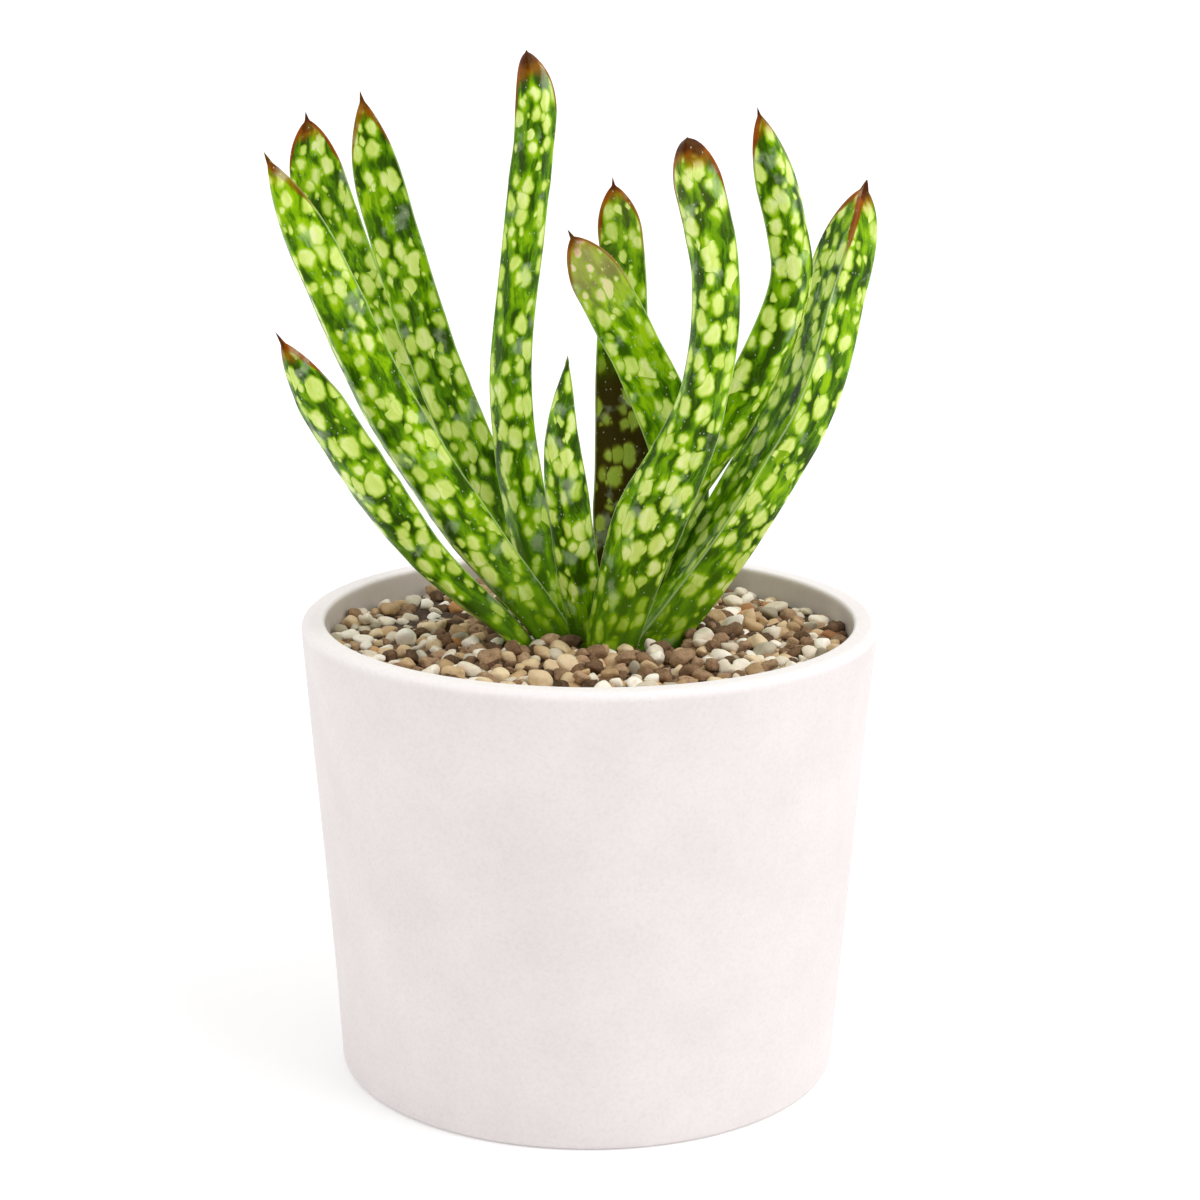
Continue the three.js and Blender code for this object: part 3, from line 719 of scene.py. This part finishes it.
def make_stones():
    rng = np.random.default_rng(7)
    spots, radii = settle(STONE_COUNT, 11)
    ball, ball_faces = unit_ball(2)
    names = list(STONES)
    kinds = rng.choice(len(names), len(spots), p=[STONES[n][0] for n in names])
    # crumbs of loam gather round the crown
    middle = np.clip((44 - np.hypot(spots[:, 0], spots[:, 1])) / 20, 0, 1)
    kinds[rng.uniform(0, 1, len(spots)) < 0.42 * middle] = len(names) - 1
    for k, name in enumerate(names):
        _, sides, roundness, lumps, waves, _ = STONES[name]
        points, faces, tones = [], [], []
        for i in np.flatnonzero(kinds == k):
            shape = stone_shape(ball, rng, sides, roundness, lumps, waves) * radii[i] * 1.12
            shape = shape @ turn_matrix(rng, 0.35).T + spots[i] + (0, 0, GRIT_TOP)
            faces.append(ball_faces + len(points) * len(ball))
            points.append(shape)
            tones.append(np.full(len(ball), rng.uniform(0, 1)))
        points = np.concatenate(points)
        inner = BASE_RADIUS + (RIM_RADIUS - BASE_RADIUS) * points[:, 2] / POT_HEIGHT - WALL - 0.05
        d = np.hypot(points[:, 0], points[:, 1])
        points[:, :2] *= np.minimum(1, inner / np.maximum(d, 1e-6))[:, None]
        made = piece(name, points, np.concatenate(faces).tolist())
        point_values(made, "tone", np.concatenate(tones))
        made.data.materials.append(stone_finish(name))
        # the first mesh stands for all the sample stones
        if k == 0:
            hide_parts(*[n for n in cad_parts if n.startswith("stone_")])


def stone_finish(name):
    """River-rounded quartz and sandstone grit: dry, matt, cloudy within each stone and faintly
    banded, every stone a little lighter or darker than the next. The chips are fired loam and
    bark, rougher, with open pores a third of a millimetre wide."""
    low, mid, high = STONES[name][5]
    if "chips" in name:
        sandiness, roughness, strength, depth = 0.5, 0.85, 0.9, 0.35
    else:
        sandiness, roughness, strength, depth = 0.22, 0.62, 0.4, 0.10
    made, tree = new_material(name + "_grit")
    where = node(tree, "TexCoord").outputs["Object"]
    tone = node(tree, "Attribute", attribute_name="tone").outputs["Fac"]
    cloud = node(tree, "TexNoise", {"Vector": where, "Scale": 1 / (2.4 * MM), "Detail": 5, "Roughness": 0.65})
    sand = node(tree, "TexNoise", {"Vector": where, "Scale": 1 / (0.35 * MM), "Detail": 3, "Roughness": 0.7})
    tone_part = node(tree, "Math", [tone, 0.6], operation="MULTIPLY")
    cloud_part = node(tree, "Math", [cloud, 0.55], operation="MULTIPLY")
    cloudy = node(tree, "Math", [tone_part, cloud_part], operation="ADD")
    uneven = node(tree, "Math", [sand, 0.5], operation="SUBTRACT")
    sand_part = node(tree, "Math", [uneven, sandiness], operation="MULTIPLY")
    mix = node(tree, "Math", [cloudy, sand_part], operation="ADD")
    shades = node(tree, "ValToRGB", [mix], [(0.22, low), (0.55, mid), (0.88, high)])
    bands = node(tree, "TexNoise", {"Vector": where, "Scale": 1 / (1.5 * MM), "Detail": 3, "Roughness": 0.5})
    veins = node(tree, "MapRange", [bands, 0.60, 0.70, 0.0, 0.35], **SOFT)
    veined = node(tree, "Mix", {FACTOR: veins, UNDER: shades, OVER: colour(low)}, **COLOURS)
    bump = node(tree, "Bump", {"Strength": strength, "Distance": depth * MM, "Height": sand})
    shader = node(tree, "BsdfPrincipled", {
        "Base Color": veined, "Roughness": roughness, "Specular IOR Level": 0.3, "Normal": bump,
    })
    node(tree, "OutputMaterial", [shader])
    return made


def make_fines():
    """The dark fines that show in the gaps: a rough sheet of crumbs under the stones."""
    rings, sides = 70, 220
    rng = np.random.default_rng(3)
    waves = rng.normal(0, 1.1, (10, 2))
    phases = rng.uniform(0, 6.28, 10)
    points = []
    for i in range(1, rings + 1):
        radius = GRIT_REACH * i / rings
        for j in range(sides):
            angle = 2 * math.pi * j / sides
            x, y = radius * math.cos(angle), radius * math.sin(angle)
            lump = 0.10 * np.sin(waves @ (x, y) + phases).sum()
            points.append((x, y, GRIT_TOP - FINES_DEPTH + lump))
    top = len(points)
    points.append((0, 0, GRIT_TOP - FINES_DEPTH))
    low_radius = GRIT_REACH - 0.3
    for j in range(sides):
        angle = 2 * math.pi * j / sides
        points.append((low_radius * math.cos(angle), low_radius * math.sin(angle), GRIT_TOP - FINES_BOTTOM))
    bottom = len(points)
    points.append((0, 0, GRIT_TOP - FINES_BOTTOM))
    faces = ring_faces(rings, sides)
    low, rim = top + 1, (rings - 1) * sides
    for j in range(sides):
        k = (j + 1) % sides
        faces.append((top, j, k))
        faces.append((rim + j, low + j, low + k, rim + k))
        faces.append((low + j, bottom, low + k))
    made = piece("grit_fines", points, faces)
    made.data.materials.append(damp_fines("grit_fines_loam", "2c2118", "4b392a", "6d553f"))
    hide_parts("grit_bed")


def damp_fines(name, low, mid, high):
    """Damp crumbed loam: near black between crumbs about a millimetre wide."""
    made, tree = new_material(name)
    where = node(tree, "TexCoord").outputs["Object"]
    crumbs = node(tree, "TexVoronoi", {"Vector": where, "Scale": 1 / (1.3 * MM)})
    sand = node(tree, "TexNoise", {"Vector": where, "Scale": 1 / (0.5 * MM), "Detail": 4, "Roughness": 0.7})
    sand_part = node(tree, "Math", [sand, 0.7], operation="MULTIPLY")
    crumb_part = node(tree, "Math", [crumbs, 0.3], operation="MULTIPLY")
    mix = node(tree, "Math", [sand_part, crumb_part], operation="ADD")
    shades = node(tree, "ValToRGB", [mix], [(0.25, low), (0.5, mid), (0.8, high)])
    bump = node(tree, "Bump", {"Strength": 1.0, "Distance": 0.5 * MM, "Height": mix})
    shader = node(tree, "BsdfPrincipled", {"Base Color": shades, "Roughness": 0.95, "Normal": bump})
    node(tree, "OutputMaterial", [shader])
    return made


def finish_hidden_pieces():
    """The compost and the crown lie under the grit and keep their solids."""
    for name, made in (
        ("compost", damp_fines("peat_compost", "1c130c", "35261a", "57432f")),
        ("crown", crown_tissue()),
    ):
        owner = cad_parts[name]
        owner.data.materials.clear()
        owner.data.materials.append(made)


def crown_tissue():
    """Pale fibrous stem tissue with brown leaf-scar bands a few millimetres apart."""
    made, tree = new_material("crown_stem_tissue")
    where = node(tree, "TexCoord").outputs["Object"]
    waves = node(tree, "TexWave", {"Vector": where, "Scale": 80.0, "Distortion": 3.0, "Detail": 3},
                 bands_direction="Z")
    bands = waves.outputs["Fac"]
    shades = node(tree, "ValToRGB", [bands], [(0.0, "6b4f2c"), (0.4, "93904e"), (1.0, "b9b97a")])
    bump = node(tree, "Bump", {"Strength": 0.6, "Distance": 0.2 * MM, "Height": bands})
    shader = node(tree, "BsdfPrincipled", {"Base Color": shades, "Roughness": 0.7, "Normal": bump})
    node(tree, "OutputMaterial", [shader])
    return made


# ---------------------------------------------------------------- room


def make_room():
    """A white paper floor 30 m across, and a white studio that is brighter overhead and at the
    sides and darker from the front."""
    size = 15000
    corners = [(-size, -size, 0), (size, -size, 0), (size, size, 0), (-size, size, 0)]
    floor = piece("floor", corners, [(0, 1, 2, 3)], body=None)
    made, tree = new_material("floor_white_paper")
    shader = node(tree, "BsdfPrincipled", {
        "Base Color": colour("f6f6f6"), "Roughness": 0.9, "Specular IOR Level": 0.1,
        "Emission Color": (1, 1, 1, 1), "Emission Strength": 0.15,
    })
    node(tree, "OutputMaterial", [shader])
    floor.data.materials.append(made)
    world = bpy.data.worlds.new("studio_white")
    world.use_nodes = True
    tree = world.node_tree
    tree.nodes.clear()
    way = node(tree, "TexCoord").outputs["Generated"]
    axes = node(tree, "SeparateXYZ", [way])
    sideways = node(tree, "Math", [axes.outputs["X"]], operation="ABSOLUTE")
    sides = node(tree, "Math", [sideways, 0.42], operation="MULTIPLY")
    upward = node(tree, "Math", [axes.outputs["Z"], 0.0], operation="MAXIMUM")
    above = node(tree, "Math", [upward, 0.60], operation="MULTIPLY")
    front = node(tree, "MapRange", [axes.outputs["Y"], -1.0, 0.2, -0.2, 0.0], **SOFT)
    walls = node(tree, "Math", [sides, above], operation="ADD")
    darkened = node(tree, "Math", [walls, front], operation="ADD")
    level = node(tree, "Math", [darkened, 0.44], operation="ADD")
    back = node(tree, "Background", {"Color": (1, 1, 1, 1), "Strength": level})
    node(tree, "OutputWorld", [back])
    bpy.context.scene.world = world


def sun(name, toward, angle, strength):
    """A far soft light that shines from the given direction."""
    light = bpy.data.lights.new(name, "SUN")
    light.angle = math.radians(angle)
    light.energy = strength
    made = bpy.data.objects.new(name, light)
    bpy.context.scene.collection.objects.link(made)
    made.rotation_euler = Vector(toward).to_track_quat("Z", "Y").to_euler()


def make_camera():
    """The camera stands 608.5 mm in front of the pot's axis and 261.4 mm up, and looks down 14 degrees."""
    data = bpy.data.cameras.new("camera")
    data.sensor_width = 36
    data.lens = 83.2
    made = bpy.data.objects.new("camera", data)
    bpy.context.scene.collection.objects.link(made)
    turn = Matrix.Rotation(math.radians(-0.22), 4, "Z")
    pitch = Matrix.Rotation(math.radians(90 - 14.12), 4, "X")
    roll = Matrix.Rotation(math.radians(0.4), 4, "Z")
    made.matrix_world = Matrix.Translation((0, -0.6085, 0.2614)) @ turn @ pitch @ roll
    bpy.context.scene.camera = made


make_camera()
make_pot()
for index, leaf_name in enumerate(LEAVES):
    make_leaf(leaf_name, index)
make_fines()
make_stones()
finish_hidden_pieces()
make_room()
sun("key_softbox", (0.75, -0.35, 0.9), 42, 0.92)

bpy.context.scene.view_settings.view_transform = "Standard"
